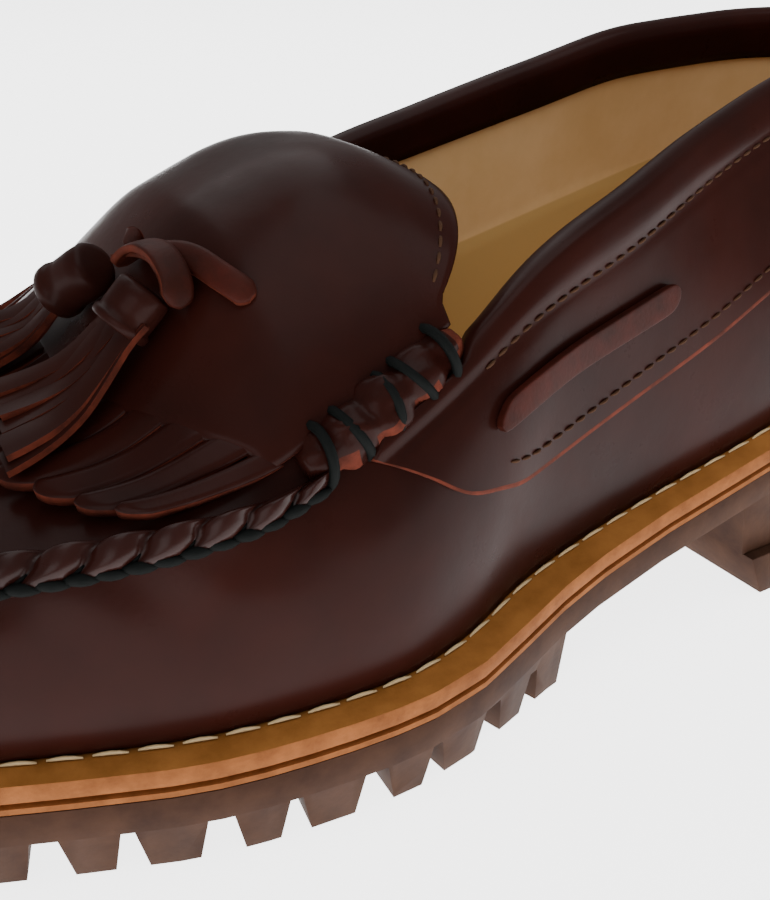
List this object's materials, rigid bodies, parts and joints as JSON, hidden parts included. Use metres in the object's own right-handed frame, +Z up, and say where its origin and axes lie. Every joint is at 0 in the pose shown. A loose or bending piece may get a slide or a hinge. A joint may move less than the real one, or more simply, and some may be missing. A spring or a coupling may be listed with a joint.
{
  "type": "tasselled kiltie loafer",
  "caption": "Left leather loafer with a fringed kiltie, two tassels, a moccasin seam, a stitched welt and a lugged rubber sole with a low heel.",
  "frame": {"origin": "on the floor, under the centre of the shoe's bounding box", "axes": "+Z up, +Y from the toe towards the heel, +X towards the outer side"},
  "size_m": [0.1005, 0.2836, 0.0977],
  "materials": {
    "sole_rubber": "matt moulded rubber",
    "midsole_leather": "sanded and dyed edge",
    "welt_leather": "smooth ochre leather",
    "sock_leather": "plain leather footbed",
    "upper_leather": "polished burgundy leather",
    "lace_leather": "flat red-brown lace",
    "tassel_leather": "dark cut leather with raw edges"
  },
  "bodies": {
    "root": {"outsole": "sole_rubber", "heel_top_lift": "sole_rubber", "midsole": "midsole_leather", "welt": "welt_leather", "insole": "sock_leather", "upper": "upper_leather", "quarter": "upper_leather", "kiltie": "upper_leather", "moc_seam": "upper_leather", "beef_roll_outer": "upper_leather", "beef_roll_inner": "upper_leather", "lace_bar_outer": "lace_leather", "lace_bar_inner": "lace_leather", "tassel_near": "tassel_leather", "tassel_far": "tassel_leather", "lace_knot": "lace_leather", "lace_end": "lace_leather"}
  },
  "joints": []
}
